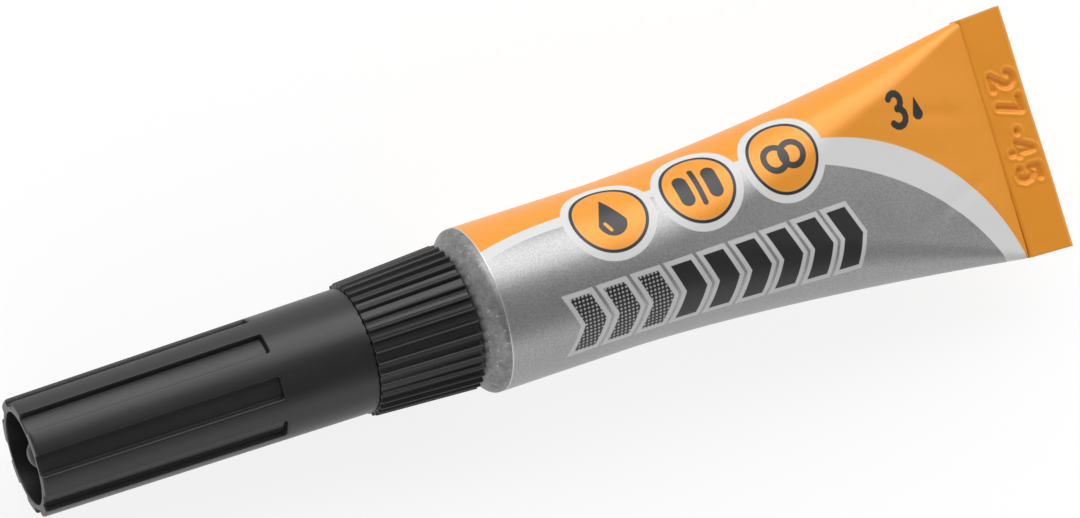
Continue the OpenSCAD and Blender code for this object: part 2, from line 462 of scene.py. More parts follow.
# ---- black mouldings ----

PLASTIC_TONES = (0.0105, 0.0165)
PLASTIC_ROUGHNESS = (0.29, 0.40)
FLOW_SHARE = 0.6
DUST_TONE = 0.09
DUST_SHARE = 0.35
DUST_APART = 1.9
DUST_EDGE = (0.03, 0.055)
DUST_WHERE = (0.35, 0.6)
# how many times longer than wide the flow marks are
CAP_STREAK = (6, 1, 1)
COLLAR_STREAK = (4, 1, 1)


def black_plastic(name, streak):
    """Satin black moulding: fine grain, faint flow marks along the mould and a little dust."""
    paint = Paint(name, Specular_IOR_Level=0.5)
    flow = paint.noise(size_mm=1.6, detail=4.0, rough=0.6, stretch=streak)
    grain = paint.noise(size_mm=0.09, detail=2.0, rough=0.6)
    speck = paint.remap(paint.cells(DUST_APART), DUST_EDGE, ALL_TO_NONE)
    speck = speck * paint.remap(grain, DUST_WHERE, NONE_TO_ALL)
    body = paint.blend(flow, *(grey(tone) for tone in PLASTIC_TONES))
    paint.set("Base Color", paint.blend(speck * DUST_SHARE, body, grey(DUST_TONE)))
    mixed = flow * FLOW_SHARE + grain * (1 - FLOW_SHARE)
    paint.set("Roughness", paint.remap(mixed, NOISE_SPAN, PLASTIC_ROUGHNESS))
    paint.bump((flow, 0.012), (grain, 0.006))
    return paint.material


# ---- bare aluminium ----

SHOULDER_TONES = (0.183, 0.333)
SHOULDER_ROUGHNESS = (0.56, 0.40)
PIT_TONE = 0.86
PIT_SHARE = 0.75
PIT_APART = 0.42
PIT_EDGE = (0.08, 0.22)
PIT_WHERE = (0.45, 0.6)


def bare_aluminium(name):
    """Dull lacquered aluminium of the shoulder: clouded, flecked with small bright pits."""
    paint = Paint(name, Metallic=0.88)
    cloud = paint.noise(size_mm=0.65, detail=6.0, rough=0.72, warp=0.3)
    pit = paint.remap(paint.cells(PIT_APART), PIT_EDGE, ALL_TO_NONE)
    pit = pit * paint.remap(cloud, PIT_WHERE, NONE_TO_ALL)
    spread = paint.remap(cloud, NOISE_SPAN, NONE_TO_ALL)
    tone = paint.blend(spread, *(grey(tone) for tone in SHOULDER_TONES))
    paint.set("Base Color", paint.blend(pit * PIT_SHARE, tone, grey(PIT_TONE)))
    paint.set("Roughness", paint.remap(cloud, NOISE_SPAN, SHOULDER_ROUGHNESS))
    paint.bump((cloud, 0.03), (pit, 0.02))
    return paint.material


# ---- print ----

ORANGE = (0.85, 0.322, 0.020)
ORANGE_DEEP = (0.79, 0.282, 0.0145)
ORANGE_SHINE = 0.20
ORANGE_CLOUD_SHARE = 0.4
ORANGE_GRAIN_SHARE = 0.6
PRINT_WHITE = (0.65, 0.65, 0.65)
SILVER_INK = (0.30, 0.30, 0.30)
SILVER_INK_LIGHT = (0.42, 0.42, 0.42)
SILVER_METAL = 0.78
SILVER_SPAN = (0.35, 0.65)
DARK_INK = (0.010, 0.010, 0.011)
BARE_METAL = (0.60, 0.60, 0.61)
BARE_METALLIC = 0.9
COAT = 0.1
ORANGE_COAT = 0.12
SLEEVE_ROUGHNESS = (0.34, 0.44)
STRIP_ROUGHNESS = (0.38, 0.50)
# share of bare metal on the strip's cut ends, over a range of the grain
CUT_SPAN = (0.3, 0.5)
CUT_SHARE = (0.6, 0.95)

# the print is drawn over u, the station, and v, the way round the tube from its top line. The
# orange field lies above its edge, and the white sweep shows between that edge and its own.
ORANGE_EDGE = dict(
    top=5.84, rise=0.019, flat_from=45.1, fall=0.035, turn_at=65.1, reach=20.5, drop=18.4)
WHITE_EDGE = dict(
    top=4.82, rise=0.026, flat_from=44.1, fall=0.0, turn_at=55.3, reach=29.2, drop=21.0)

# the badges: a white halo, a dark ring and an orange face, each with a plain sign
BADGES_U = (48.9, 56.9, 64.9)
BADGES_V = 4.35
HALO_R, RING_R, FACE_R = 3.85, 3.2, 2.92
DROP_LOW, DROP_HIGH = 0.6, 1.75
DROP_R, DROP_TIP_R = 1.2, 0.06
DROP_SHINE = ((-0.62, -0.55), (-0.35, -1.2))
DROP_SHINE_R = 0.14
PAD_OUT, PAD_HALF, PAD_R = 1.3, 0.8, 0.62
BOND_HALF, BOND_R = 1.5, 0.24
LINK_OUT, LINK_R, LINK_HALF_T = 0.8, 1.0, 0.27

# the row of chevrons, the first few in a halftone
CHEVRONS = 9
CHEVRON_U, CHEVRON_V, CHEVRON_PITCH = 45.2, -3.55, 2.98
CHEVRON_HALF, CHEVRON_TALL, CHEVRON_LEAN = 0.92, 2.45, 0.42
CHEVRON_HALO, CHEVRON_HALO_SHARE = 0.42, 0.75
HALFTONE_CHEVRONS = 3
HALFTONE_PITCH, HALFTONE_DOT = 0.34, 0.09
HALFTONE_FADE = 0.8

# the plain number near the fold, with a small drop beside it
MARK_AT, MARK_W, MARK_H = (75.9, 3.55), 1.45, 2.75
MARK_R = 0.3
MARK_DROP_GAP, MARK_DROP_UP, MARK_DROP_TALL = 1.2, 0.55, 1.35
MARK_DROP_R, MARK_DROP_TIP_R = 0.52, 0.05

# the bare line that the print leaves at the rim, and the rubbed spots behind it
BARE_EDGE = 0.11
RUB_REACH, RUB_SOFT = 0.9, 0.5
RUB_WHERE, RUB_SHARE = (0.70, 0.74), (0.0, 0.5)


def orange_lacquer(paint, cloud, grain):
    fine = paint.remap(grain, NOISE_SPAN, (0.0, ORANGE_GRAIN_SHARE))
    return paint.blend(cloud * ORANGE_CLOUD_SHARE + fine, ORANGE_DEEP, ORANGE)


def field_edge(u, top, rise, flat_from, fall, turn_at, reach, drop):
    """Height of a field's edge over u. It curves up to the height top at flat_from, runs on with
    the slope fall, and from turn_at drops away as a quarter of an ellipse reach by drop."""
    early = (-(u - flat_from)).max(0.0)
    late = (u - flat_from).max(0.0)
    # short of 1, where the ellipse stands upright
    turn = ((u - turn_at) * (1 / reach)).max(0.0).min(0.999)
    bow = (turn * turn).invert().op("SQRT")
    return -(early * early * rise) - late * fall + top - bow.invert() * drop


def ellipse_arc(mid_x, mid_y, wide, tall, start, end, steps=7):
    """Points of an arc of an ellipse, its angles in degrees."""
    spread = np.radians(np.linspace(start, end, steps))
    return [(mid_x + wide * math.cos(a), mid_y + tall * math.sin(a)) for a in spread]


# strokes of the plain numbers, on a unit square
DIGITS = {
    "2": ellipse_arc(0.5, 0.72, 0.5, 0.28, 165, -35) + [(0.0, 0.0), (1.0, 0.0)],
    "3": ellipse_arc(0.45, 0.76, 0.42, 0.24, 150, -80, 9)
    + ellipse_arc(0.45, 0.27, 0.5, 0.27, 80, -150, 9),
    "7": [(0.0, 1.0), (1.0, 1.0), (0.35, 0.0)],
    "4": [(0.75, 0.0), (0.75, 1.0), (0.0, 0.32), (1.0, 0.32)],
    "5": [(0.95, 1.0), (0.15, 1.0), (0.1, 0.58)] + ellipse_arc(0.45, 0.33, 0.52, 0.33, 125, -140),
    ".": [(0.45, 0.5), (0.55, 0.5)],
}


def badge_discs(spot):
    """The halo, the dark disc and the orange face, each of all the badges together."""
    away = nearest([spot.distance((u, BADGES_V)) for u in BADGES_U])
    return [(away - r).inside() for r in (HALO_R, RING_R, FACE_R)]


def badge_signs(spot):
    """A drop of glue, two pads with a bond between them and two linked rings."""
    first, second, third = BADGES_U
    drop = spot.stroke(
        (first, BADGES_V - DROP_LOW), (first, BADGES_V + DROP_HIGH), DROP_R, DROP_TIP_R)
    shine = spot.path([(first + x, BADGES_V + y) for x, y in DROP_SHINE], DROP_SHINE_R)
    shapes = [drop.max(-shine)]
    for u, half, r in (
            (second - PAD_OUT, PAD_HALF, PAD_R), (second + PAD_OUT, PAD_HALF, PAD_R),
            (second, BOND_HALF, BOND_R)):
        shapes.append(spot.path([(u, BADGES_V - half), (u, BADGES_V + half)], r))
    for u in (third - LINK_OUT, third + LINK_OUT):
        shapes.append((spot.distance((u, BADGES_V)) - LINK_R).abs() - LINK_HALF_T)
    return nearest(shapes).inside()


def chevron_row(u, v):
    """Halo, chevrons and halftone dots: one chevron's shape, repeated along u."""
    lean = u + (v - CHEVRON_V).abs() * CHEVRON_LEAN
    count = ((lean - (CHEVRON_U - CHEVRON_PITCH / 2)) * (1 / CHEVRON_PITCH)).op("FLOOR")
    which = count.max(0.0).min(CHEVRONS - 1.0)
    across = (lean - which * CHEVRON_PITCH - CHEVRON_U).abs() - CHEVRON_HALF
    chevron = across.max((v - CHEVRON_V).abs() - CHEVRON_TALL)
    cell_u = (u * (1 / HALFTONE_PITCH)).op("FRACT") - 0.5
    cell_v = (v * (1 / HALFTONE_PITCH)).op("FRACT") - 0.5
    dot = (cell_u * cell_u + cell_v * cell_v).op("SQRT") * HALFTONE_PITCH - HALFTONE_DOT
    dots = dot.inside(soft=0.04) * (which - (HALFTONE_CHEVRONS - 0.5)).inside(soft=0.1)
    return (chevron - CHEVRON_HALO).inside(), chevron.inside(), dots


def quantity_mark(spot):
    """The plain number and the drop that stands for what the tube holds."""
    left, foot = MARK_AT
    strokes = [(left + x * MARK_W, foot + y * MARK_H) for x, y in DIGITS["3"]]
    low = (left + MARK_W + MARK_DROP_GAP, foot + MARK_DROP_UP)
    high = (low[0], low[1] + MARK_DROP_TALL)
    drop = spot.stroke(low, high, MARK_DROP_R, MARK_DROP_TIP_R)
    return spot.path(strokes, MARK_R).min(drop).inside()


def printed_sleeve_paint():
    """Lacquer print of the sleeve: an orange field over a silver one, a white sweep between them,
    three round badges, a row of chevrons and a plain number."""
    paint = Paint("printed_lacquer", Coat_Roughness=0.24)
    u, v, face = paint.label()
    on_top = face.inside(soft=0.02).invert()
    flat = paint.node("ShaderNodeCombineXYZ")
    for slot, value in zip(flat.inputs, (u, v)):
        paint.tree.links.new(value.socket, slot)
    spot = Vec(paint.tree, flat.outputs[0])

    orange = (field_edge(u, **ORANGE_EDGE) - v).inside()
    white = (field_edge(u, **WHITE_EDGE) - v).inside()
    halo, dark, plain = badge_discs(spot)
    band_halo, band, dots = chevron_row(u, v)
    light = white.max(halo * on_top).max(band_halo * on_top * CHEVRON_HALO_SHARE)
    ink = (dark * plain.invert()).max(badge_signs(spot))
    ink = ink.max(band * (dots * HALFTONE_FADE).invert()).max(quantity_mark(spot)) * on_top
    fill = (orange * (halo * on_top).invert()).max(plain * on_top)

    grain = paint.noise(size_mm=0.14, detail=3.0, rough=0.7)
    cloud = paint.noise(size_mm=5.0, detail=4.0, rough=0.55)
    speckle = paint.remap(grain, SILVER_SPAN, NONE_TO_ALL)
    colour = paint.blend(speckle, SILVER_INK, SILVER_INK_LIGHT)
    colour = paint.blend(light, colour, PRINT_WHITE)
    colour = paint.blend(fill, colour, orange_lacquer(paint, cloud, grain))
    colour = paint.blend(ink, colour, DARK_INK)
    rubbed = paint.remap(paint.noise(size_mm=0.9, detail=6.0, rough=0.75), RUB_WHERE, RUB_SHARE)
    rubbed = rubbed * (u - (PRINT_AT + RUB_REACH)).inside(RUB_SOFT)
    bare = (u - (PRINT_AT + BARE_EDGE)).inside(soft=0.04).max(rubbed)
    paint.set("Base Color", paint.blend(bare, colour, BARE_METAL))

    # the silver ink shines like metal, the orange one a little, the white and the dark not at all
    metal = light.max(fill).max(ink).invert() * SILVER_METAL
    tinted = fill * ink.invert() * ORANGE_SHINE
    paint.set("Metallic", metal.max(bare * BARE_METALLIC).max(tinted))
    paint.set("Coat Weight", fill * ORANGE_COAT + COAT)
    mixed = cloud * 0.5 + grain * 0.5
    paint.set("Roughness", paint.remap(mixed, NOISE_SPAN, SLEEVE_ROUGHNESS))
    paint.bump((cloud, 0.05), (grain, 0.004))
    return paint.material


def folded_strip_paint():
    """The same orange lacquer on the folded end. Its cut ends show the bare metal."""
    paint = Paint("strip_lacquer", Coat_Weight=COAT, Coat_Roughness=0.25)
    cloud = paint.noise(size_mm=2.2, detail=5.0, rough=0.6)
    grain = paint.noise(size_mm=0.14, detail=3.0, rough=0.7)
    cut_end = paint.label()[0]
    cut = cut_end * paint.remap(grain, CUT_SPAN, CUT_SHARE)
    paint.set("Base Color", paint.blend(cut, orange_lacquer(paint, cloud, grain), BARE_METAL))
    paint.set("Metallic", cut.max(ORANGE_SHINE))
    mixed = cloud * 0.5 + grain * 0.5
    paint.set("Roughness", paint.remap(mixed, NOISE_SPAN, STRIP_ROUGHNESS))
    paint.bump((cloud, 0.03), (grain, 0.005))
    return paint.material


# ---- finishes of the CAD nodes that stay ----

STEEL_TONES = (0.46, 0.62)
STEEL_ROUGHNESS = (0.22, 0.38)
STEEL_STREAK = (30, 1, 1)
SEAL_TONES = ((0.62, 0.56, 0.42), (0.78, 0.72, 0.58))
SEAL_ROUGHNESS = (0.6, 0.8)
GLUE_TONES = ((0.90, 0.93, 0.95), (0.97, 0.98, 0.98))
GLUE_ROUGHNESS = (0.02, 0.06)


def brushed_steel():
    paint = Paint("brushed_pin", Metallic=1.0)
    lines = paint.noise(size_mm=0.05, detail=3.0, rough=0.6, stretch=STEEL_STREAK)
    paint.set("Base Color", paint.blend(lines, *(grey(tone) for tone in STEEL_TONES)))
    paint.set("Roughness", paint.remap(lines, NOISE_SPAN, STEEL_ROUGHNESS))
    paint.bump((lines, 0.004))
    return paint.material


def rubber_seal():
    paint = Paint("seal_compound")
    cloud = paint.noise(size_mm=0.6, detail=4.0, rough=0.6)
    paint.set("Base Color", paint.blend(cloud, *SEAL_TONES))
    paint.set("Roughness", paint.remap(cloud, NOISE_SPAN, SEAL_ROUGHNESS))
    paint.bump((cloud, 0.02))
    return paint.material


def liquid_glue():
    paint = Paint("clear_glue", Transmission_Weight=0.9, IOR=1.45)
    cloud = paint.noise(size_mm=3.0, detail=2.0, rough=0.5)
    paint.set("Base Color", paint.blend(cloud, *GLUE_TONES))
    paint.set("Roughness", paint.remap(cloud, NOISE_SPAN, GLUE_ROUGHNESS))
    return paint.material


# ---- cap ----

# columns round a flute in degrees: over its floor, across its wall and over the land beside it.
# Those of the wall count from the flute's edge.
FLOOR_COLUMNS = (2.6, 5.2, 7.4)
WALL_COLUMNS = (-1.4, -0.75, -0.58, -0.35, -0.1, 0.2, 0.5, 0.8, 1.1, 1.5)
LAND_COLUMNS = (13.5, 16.5, 19.5)
# a wall starts this many degrees out on the land, takes this arc and grows steeper as it falls
WALL_START = 1.5
WALL_ARC = 2.1
WALL_POWER = 2.6
# length of the wall at a flute's inner end
END_WALL = 0.22
# flat of the end face beside the socket. A flute grows from it to its full depth, which it has
# this far inside the face's outer edge.
SOCKET_LIP = 0.2
FACE_RIM = 0.05
# rows along the cap, beside those of its edges
FLUTED_ROWS = (2.0, 5.0, 9.0, 13.0, 17.0)
BAND_ROWS = (20.0, 22.0, 24.5)
END_WALL_ROWS = np.linspace(FLUTE_LEN - 0.24, FLUTE_LEN, 9)
# how far the outlines of the two edges reach along the side
END_EDGE = 0.6
MOUTH_EDGE = 0.4
BORE_CHAMFER_LEN, BORE_CHAMFER_RISE = 0.22, 0.28


def cap_radius(s):
    return CAP_END_R + (CAP_MOUTH_R - CAP_END_R) * s / CAP_LEN


def flute_angles():
    """Clock angles of the cap's columns: close together across each flute's two walls."""
    pitch = FULL_TURN / FLUTES
    wall = FLUTE_HALF_ARC + np.array(WALL_COLUMNS)
    side = np.concatenate([FLOOR_COLUMNS, wall, LAND_COLUMNS])
    one = np.concatenate([-side[::-1], [0], side, [pitch / 2]])
    return np.concatenate([one + FLUTE_TURN + k * pitch for k in range(FLUTES)])


def flute_cut(s, r, angle):
    """Radius of the cap's outer skin and end face, with the flutes pressed in. A flute's wall
    eases off the land and meets the floor sharply."""
    pitch = FULL_TURN / FLUTES
    off = np.abs((angle - FLUTE_TURN + pitch / 2) % pitch - pitch / 2)
    across = np.clip((FLUTE_HALF_ARC + WALL_START - off) / WALL_ARC, 0, 1) ** WALL_POWER
    along = smooth((FLUTE_LEN - s) / END_WALL)
    inner, outer = SOCKET_R + SOCKET_LIP, CAP_END_R - FACE_RIM
    face = np.clip((r - inner) / (outer - inner), 0, 1)
    return r - FLUTE_DEPTH * across * along * face


def cap_bore(s, r, angle):
    """Radius of the cap's bore, whose ridges stand between those of the spigot."""
    height = thread(
        s, angle, CAP_PITCH, BORE_THREAD, BORE_RIDGE_SHARE, FLANK_SHARE, phase=0.5)
    return r - CAP_THREAD_DEPTH * height


def build_cap():
    socket = rounded([
        corner(SPIKE_INSET, 0.0),
        corner(SPIKE_INSET, SPIKE_POINT_R, ease=0.25),
        corner(SPIKE_INSET + SPIKE_POINT_LEN, SPIKE_TOP_R, ease=0.2),
        corner(SOCKET_DEPTH, SPIKE_FOOT_R, ease=0.25),
        corner(SOCKET_DEPTH, SOCKET_R, ease=0.3),
        corner(0.0, SOCKET_R, ease=0.1),
        corner(0.0, SOCKET_R + SOCKET_LIP)])
    end_edge = rounded([
        corner(0.0, SOCKET_R + SOCKET_LIP),
        corner(0.0, CAP_END_R, ease=0.26),
        corner(END_EDGE, cap_radius(END_EDGE))])
    rows = (*FLUTED_ROWS, *END_WALL_ROWS, *BAND_ROWS, CAP_LEN - MOUTH_EDGE)
    side = [(s, cap_radius(s)) for s in rows]
    mouth_edge = rounded([
        corner(CAP_LEN - MOUTH_EDGE, cap_radius(CAP_LEN - MOUTH_EDGE)),
        corner(CAP_LEN, CAP_MOUTH_R, ease=0.14),
        corner(CAP_LEN, CAP_BORE_R + 0.3)])
    bore = [(CAP_LEN, CAP_BORE_R + BORE_CHAMFER_RISE), (CAP_LEN - BORE_CHAMFER_LEN, CAP_BORE_R)]
    bore += [(s, CAP_BORE_R) for s in np.arange(CAP_LEN - 0.25, SPIGOT_AT + 0.05, -THREAD_ROW)]
    hollow = rounded([
        corner(SPIGOT_AT, CAP_BORE_R),
        corner(SPIGOT_AT - 0.2, CAP_BORE_R - 0.4, ease=0.1),
        corner(WEB_AT, CAVITY_R, ease=0.4),
        corner(WEB_AT, BOSS_R, ease=0.15),
        corner(BOSS_AT, BOSS_R, ease=0.15),
        corner(BOSS_AT, PIN_SEAT_R, ease=0.05),
        corner(PIN_SEAT_AT, PIN_SEAT_R),
        corner(PIN_SEAT_AT, 0.0)])
    angles = flute_angles()
    rings = np.concatenate([
        turned(socket, angles),
        turned(end_edge[1:] + side + mouth_edge, angles, flute_cut),
        turned(bore, angles, cap_bore),
        turned(hollow, angles)])
    mesh = grid_mesh("cap_shell", rings, loop=False)
    return finish_mesh("cap_shell", mesh, "cap", ["cap"], sharp=50)


# ---- nozzle ----

# columns round a rib in degrees from its crest, closer where it is round
RIB_COLUMNS = (0.35, 0.7, 1.1, 1.5, 1.9, 2.3, 3.2, 4.2)
# a rib's height is mostly a rounded crest, and a little of it slopes over the whole valley
CREST_HEIGHT = 0.86
CREST_FLAT, CREST_SIDE = 0.08, 0.4
# how the ribs follow the rounding of the collar's ends, and how deep
END_FOLLOW, END_DEPTH = 0.6, 0.3
# rings of the collar's front face, and the points of its side where the edges' rounding ends
FACE_RADII = (4.2, 4.9, 5.0)
LEAD_IN, LEAD_IN_R = 0.5, 5.45
RIB_ROWS = (29.0, 31.5, 34.0, 35.6)
LEAD_OUT_AT, LEAD_OUT_R = 35.6, 5.93
BACK_FACE_R = 5.42


def rib_angles():
    """Clock angles of the collar's columns."""
    pitch = FULL_TURN / RIBS
    side = np.array(RIB_COLUMNS)
    one = np.concatenate([-side[::-1], [0], side, [pitch / 2]])
    return np.concatenate([one + pitch / 2 + k * pitch for k in range(RIBS)])


def ribs_cut(s, r, angle):
    """Radius of the collar: narrow round crests over wide, nearly flat valleys."""
    pitch = FULL_TURN / RIBS
    off = np.abs(angle % pitch - pitch / 2) / (pitch / 2)
    share = np.clip((s - CAP_LEN) / (COLLAR_END - CAP_LEN), 0, 1)
    root, crest = (a + (b - a) * share for a, b in zip(RIB_FRONT, RIB_BACK))
    wave = CREST_HEIGHT * (1 - smooth((off - CREST_FLAT) / CREST_SIDE))
    wave = wave + (1 - CREST_HEIGHT) * (1 - off)
    ends = (r - crest).clip(-END_DEPTH, 0) * END_FOLLOW
    return np.minimum(r, root + (crest - root) * wave + ends)


def spigot_thread(s, r, angle):
    height = thread(s, angle, CAP_PITCH, SPIGOT_THREAD, RIDGE_SHARE, FLANK_SHARE)
    return r - CAP_THREAD_DEPTH * (1 - height)


def build_nozzle():
    mouth_r = COLLAR_BACK_R - COLLAR_BACK_LAND
    spigot_root = SPIGOT_R - CAP_THREAD_DEPTH
    thread_from = SPIGOT_AT + 0.2
    front = rounded([
        corner(TIP_AT, OUTLET_R),
        corner(TIP_AT, TIP_R, ease=0.18),
        corner(SPIGOT_AT, CONE_R, ease=0.15),
        corner(SPIGOT_AT, spigot_root, ease=0.12),
        corner(thread_from, spigot_root)])
    spigot = [(s, SPIGOT_R) for s in np.arange(thread_from, CAP_LEN - 0.05, THREAD_ROW)]
    face = [(CAP_LEN, r) for r in (spigot_root, *FACE_RADII[:-1])]
    front_edge = rounded([
        corner(CAP_LEN, FACE_RADII[-1]),
        corner(CAP_LEN, RIB_FRONT[1], ease=0.12),
        corner(CAP_LEN + LEAD_IN, LEAD_IN_R)])
    slope = (RIB_BACK[1] - RIB_FRONT[1]) / (COLLAR_END - CAP_LEN)
    side = [(s, RIB_FRONT[1] + slope * (s - CAP_LEN)) for s in RIB_ROWS]
    back_edge = rounded([
        corner(LEAD_OUT_AT, LEAD_OUT_R),
        corner(COLLAR_END, RIB_BACK[1], ease=0.14),
        corner(COLLAR_END, BACK_FACE_R)])
    inside = rounded([
        corner(COLLAR_END, BACK_FACE_R),
        corner(COLLAR_END, mouth_r, ease=0.05),
        corner(COLLAR_END - mouth_r + NECK_BORE_R, NECK_BORE_R, ease=0.2),
        corner(NECK_END, NECK_BORE_R, ease=0.15),
        corner(NECK_END, CONE_R, ease=0.1),
        corner(SPIGOT_AT, CONE_R - NOZZLE_WALL, ease=0.3),
        corner(TIP_AT + OUTLET_LEN, OUTLET_R, ease=0.2),
        corner(TIP_AT, OUTLET_R)])
    angles = rib_angles()
    rings = np.concatenate([
        turned(front, angles),
        turned(spigot, angles, spigot_thread),
        turned(face, angles),
        turned(front_edge + side + back_edge, angles, ribs_cut),
        turned(inside[1:-1], angles)])
    mesh = grid_mesh("ribbed_nozzle", rings, loop=True)
    return finish_mesh("ribbed_nozzle", mesh, "nozzle", ["nozzle"], sharp=40)


# ---- printed sleeve ----

SLEEVE_WALL = 0.12
SLEEVE_COLUMNS = 240
# rows along the barrel up to one station, and closer ones from the other on
BARREL_ROW, BARREL_ROWS_TO = 0.9, 49.0
WEDGE_ROW, WEDGE_ROWS_FROM = 0.45, 49.2
# the print's edge, as (distance from it, inset) rows
PRINT_EDGE = ((0.0, 0.07), (0.02, 0.03), (0.06, 0.008))
PRINT_EDGE_LEN = 0.12

# soft buckles: depth, then their rates along the tube and across it, in radians per mm
BUCKLE = 0.045
BUCKLE_FROM, BUCKLE_RUN = 52, 25
BUCKLE_RATES = ((0.41, 0.33), (0.17, -0.47))
BUCKLE_PHASE, BUCKLE_SIDE_PHASE = 0.6, 1.3
# two creases that open out from the fold towards the barrel
CREASE = 0.05
CREASE_FROM, CREASE_RUN = 71, 10
CREASE_Y, CREASE_SPREAD, CREASE_WIDTH = 2.2, 0.28, 0.7
FOLD_RUN = 3.0
TOP_RUN = 0.6
# a dent never takes more than this share of the half thickness
DENT_LIMIT = 0.3


def half_thick(u):
    """Half thickness of the wedge, u running from 0 at the barrel to 1 at the fold."""
    return BARREL_R - (BARREL_R - WEDGE_END_B) * np.clip(u, 0, 1) ** FLAT_POWER


def half_width(b):
    """Half width of the wedge where its half thickness is b: the sheet spreads as it flattens."""
    return BARREL_R + (FOLD_HALF - BARREL_R) * (BARREL_R - b) / (BARREL_R - WEDGE_END_B)


def section(s, inset):
    """One ring of the sleeve: two flats joined by half rounds, points evenly spaced round it.
    Returns the ring and its label values: station, distance from the nearer middle line and
    +1 on the top face, -1 on the underside."""
    count = SLEEVE_COLUMNS
    b = half_thick((s - WEDGE_AT) / (FOLD_AT - WEDGE_AT))
    flat = half_width(b) - b
    quarter = flat + b * math.pi / 2
    t = (np.arange(count) + 0.5) / count * 4 * quarter - 2 * quarter
    side = np.where(np.abs(t) < quarter, 1.0, -1.0)
    near = np.where(side > 0, np.abs(t), 2 * quarter - np.abs(t))
    turn = np.clip(near - flat, 0, None) / b
    y = np.sign(t) * (np.minimum(near, flat) + (b - inset) * np.sin(turn))
    z = side * (b - inset) * np.cos(turn)
    ring = np.stack([np.full(count, s), y, z], -1)
    label = np.stack([np.full(count, s), np.sign(t) * near, side], -1)
    return ring, label


def dents(s, y, z):
    """Depth of the thin sleeve's inward buckling, strongest towards the fold. The underside rests
    on the glue inside and keeps its shape."""
    (along_a, across_a), (along_b, across_b) = BUCKLE_RATES
    soft = np.sin(s * along_a + y * across_a + BUCKLE_PHASE)
    soft = soft * np.sin(s * along_b + y * across_b + np.sign(z) * BUCKLE_SIDE_PHASE)
    buckle = BUCKLE * (soft + 1) * between(s, BUCKLE_FROM, FOLD_AT, BUCKLE_RUN, FOLD_RUN)
    crease = gauss(np.abs(y) - CREASE_Y - (FOLD_AT - s) * CREASE_SPREAD, CREASE_WIDTH)
    crease = CREASE * crease * between(s, CREASE_FROM, FOLD_AT - 0.5, CREASE_RUN, FOLD_RUN)
    return (buckle + crease) * smooth(z / TOP_RUN)


def build_sleeve():
    stations = np.concatenate([
        np.arange(PRINT_AT + PRINT_EDGE_LEN, BARREL_ROWS_TO, BARREL_ROW),
        np.arange(WEDGE_ROWS_FROM, FOLD_AT, WEDGE_ROW),
        [FOLD_AT + 0.1]])
    outside = [(PRINT_AT + along, inset) for along, inset in PRINT_EDGE]
    outside += [(s, 0.0) for s in stations]
    inside = [(s, SLEEVE_WALL) for s in (*stations[::-1], PRINT_AT)]
    rings, labels = [], []
    for s, inset in outside + inside:
        ring, label = section(s, inset)
        y, z = ring[:, 1], ring[:, 2]
        ring[:, 2] = z - np.sign(z) * np.minimum(dents(s, y, z), np.abs(z) * DENT_LIMIT)
        rings.append(ring)
        labels.append(label)
    mesh = grid_mesh("printed_sleeve", np.array(rings), loop=True, values=np.array(labels))
    return finish_mesh(
        "printed_sleeve", mesh, "tube", ["tube_body"], sharp=60)


# ---- neck and shoulder ----

SHOULDER_COLUMN = 2.5
NECK_ROW = 0.12
# the shell's wall, and how far it reaches into the sleeve
SHOULDER_WALL = 0.45
SLEEVE_LAP = 0.8
LAP_INSET, LAP_WALL_INSET = 0.13, 0.3


def neck_thread(s, r, angle):
    height = thread(s, angle, NECK_PITCH, NECK_THREAD, RIDGE_SHARE, NECK_FLANK_SHARE)
    return r - NECK_THREAD_DEPTH * (1 - height)


def build_shoulder():
    """Bare neck, membrane and bevelled shoulder, a closed shell that reaches into the sleeve."""
    root = NECK_END + NECK_LEN
    neck_low = NECK_R - NECK_THREAD_DEPTH
    front = rounded([
        corner(NECK_END + 0.10, 0.0),
        corner(NECK_END + 0.06, 2.3, ease=0.2),
        corner(NECK_END, 2.75, ease=0.1),
        corner(NECK_END, neck_low, ease=0.12),
        corner(NECK_END + 0.25, neck_low)])
    neck = [(s, NECK_R) for s in np.arange(NECK_END + 0.3, root - 0.3, NECK_ROW)]
    skin = rounded([
        corner(root - 0.25, neck_low),
        corner(root - 0.02, neck_low + 0.02, ease=0.15),
        corner(RIM_AT, BARREL_R, ease=0.34),
        corner(PRINT_AT + 0.02, BARREL_R - 0.02, ease=0.03),
        corner(PRINT_AT + 0.1, BARREL_R - LAP_INSET),
        corner(PRINT_AT + SLEEVE_LAP, BARREL_R - LAP_INSET)], steps=7)
    inside = rounded([
        corner(PRINT_AT + SLEEVE_LAP, BARREL_R - LAP_WALL_INSET),
        corner(RIM_AT + 0.7, BARREL_R - SHOULDER_WALL, ease=0.3),
        corner(root + 0.7, neck_low - SHOULDER_WALL, ease=0.3),
        corner(NECK_END + 0.3, neck_low - 0.5, ease=0.1),
        corner(NECK_END + 0.2, 0.0)])
    angles = np.arange(0, FULL_TURN, SHOULDER_COLUMN)
    rings = np.concatenate([
        turned(front, angles),
        turned(neck, angles, neck_thread),
        turned(skin, angles),
        turned(inside, angles)])
    mesh = grid_mesh("bare_shoulder", rings, loop=False)
    return finish_mesh(
        "bare_shoulder", mesh, "tube", ["tube_body"], sharp=50)


# ---- folded strip ----

# the pressed number: a digit's foot is towards the cap, and it reads from +Y to -Y
CODE = "27.45"
CODE_MID = 87.45
CODE_FROM_Y = 4.9
CODE_STEPS = (2.2, 2.15, 1.4, 2.15, 2.15)
DIGIT_W, DIGIT_H, DIGIT_STROKE = 1.05, 2.0, 0.23
CODE_DEPTH = 0.24
PRESS_EDGE, PRESS_RUN = 0.1, 0.22
SWELL, SWELL_AT, SWELL_WIDTH = 0.04, 0.26, 0.12
# more than the distance that any pressed stroke reaches
FAR = 9.0

# the sheet as it is folded, and the rows along it
SHEET_T = 0.3
STRIP_INSET = 0.02
LAYER_GAP = 0.03
BEND_STEP, TUCK_STEP = 12, 20
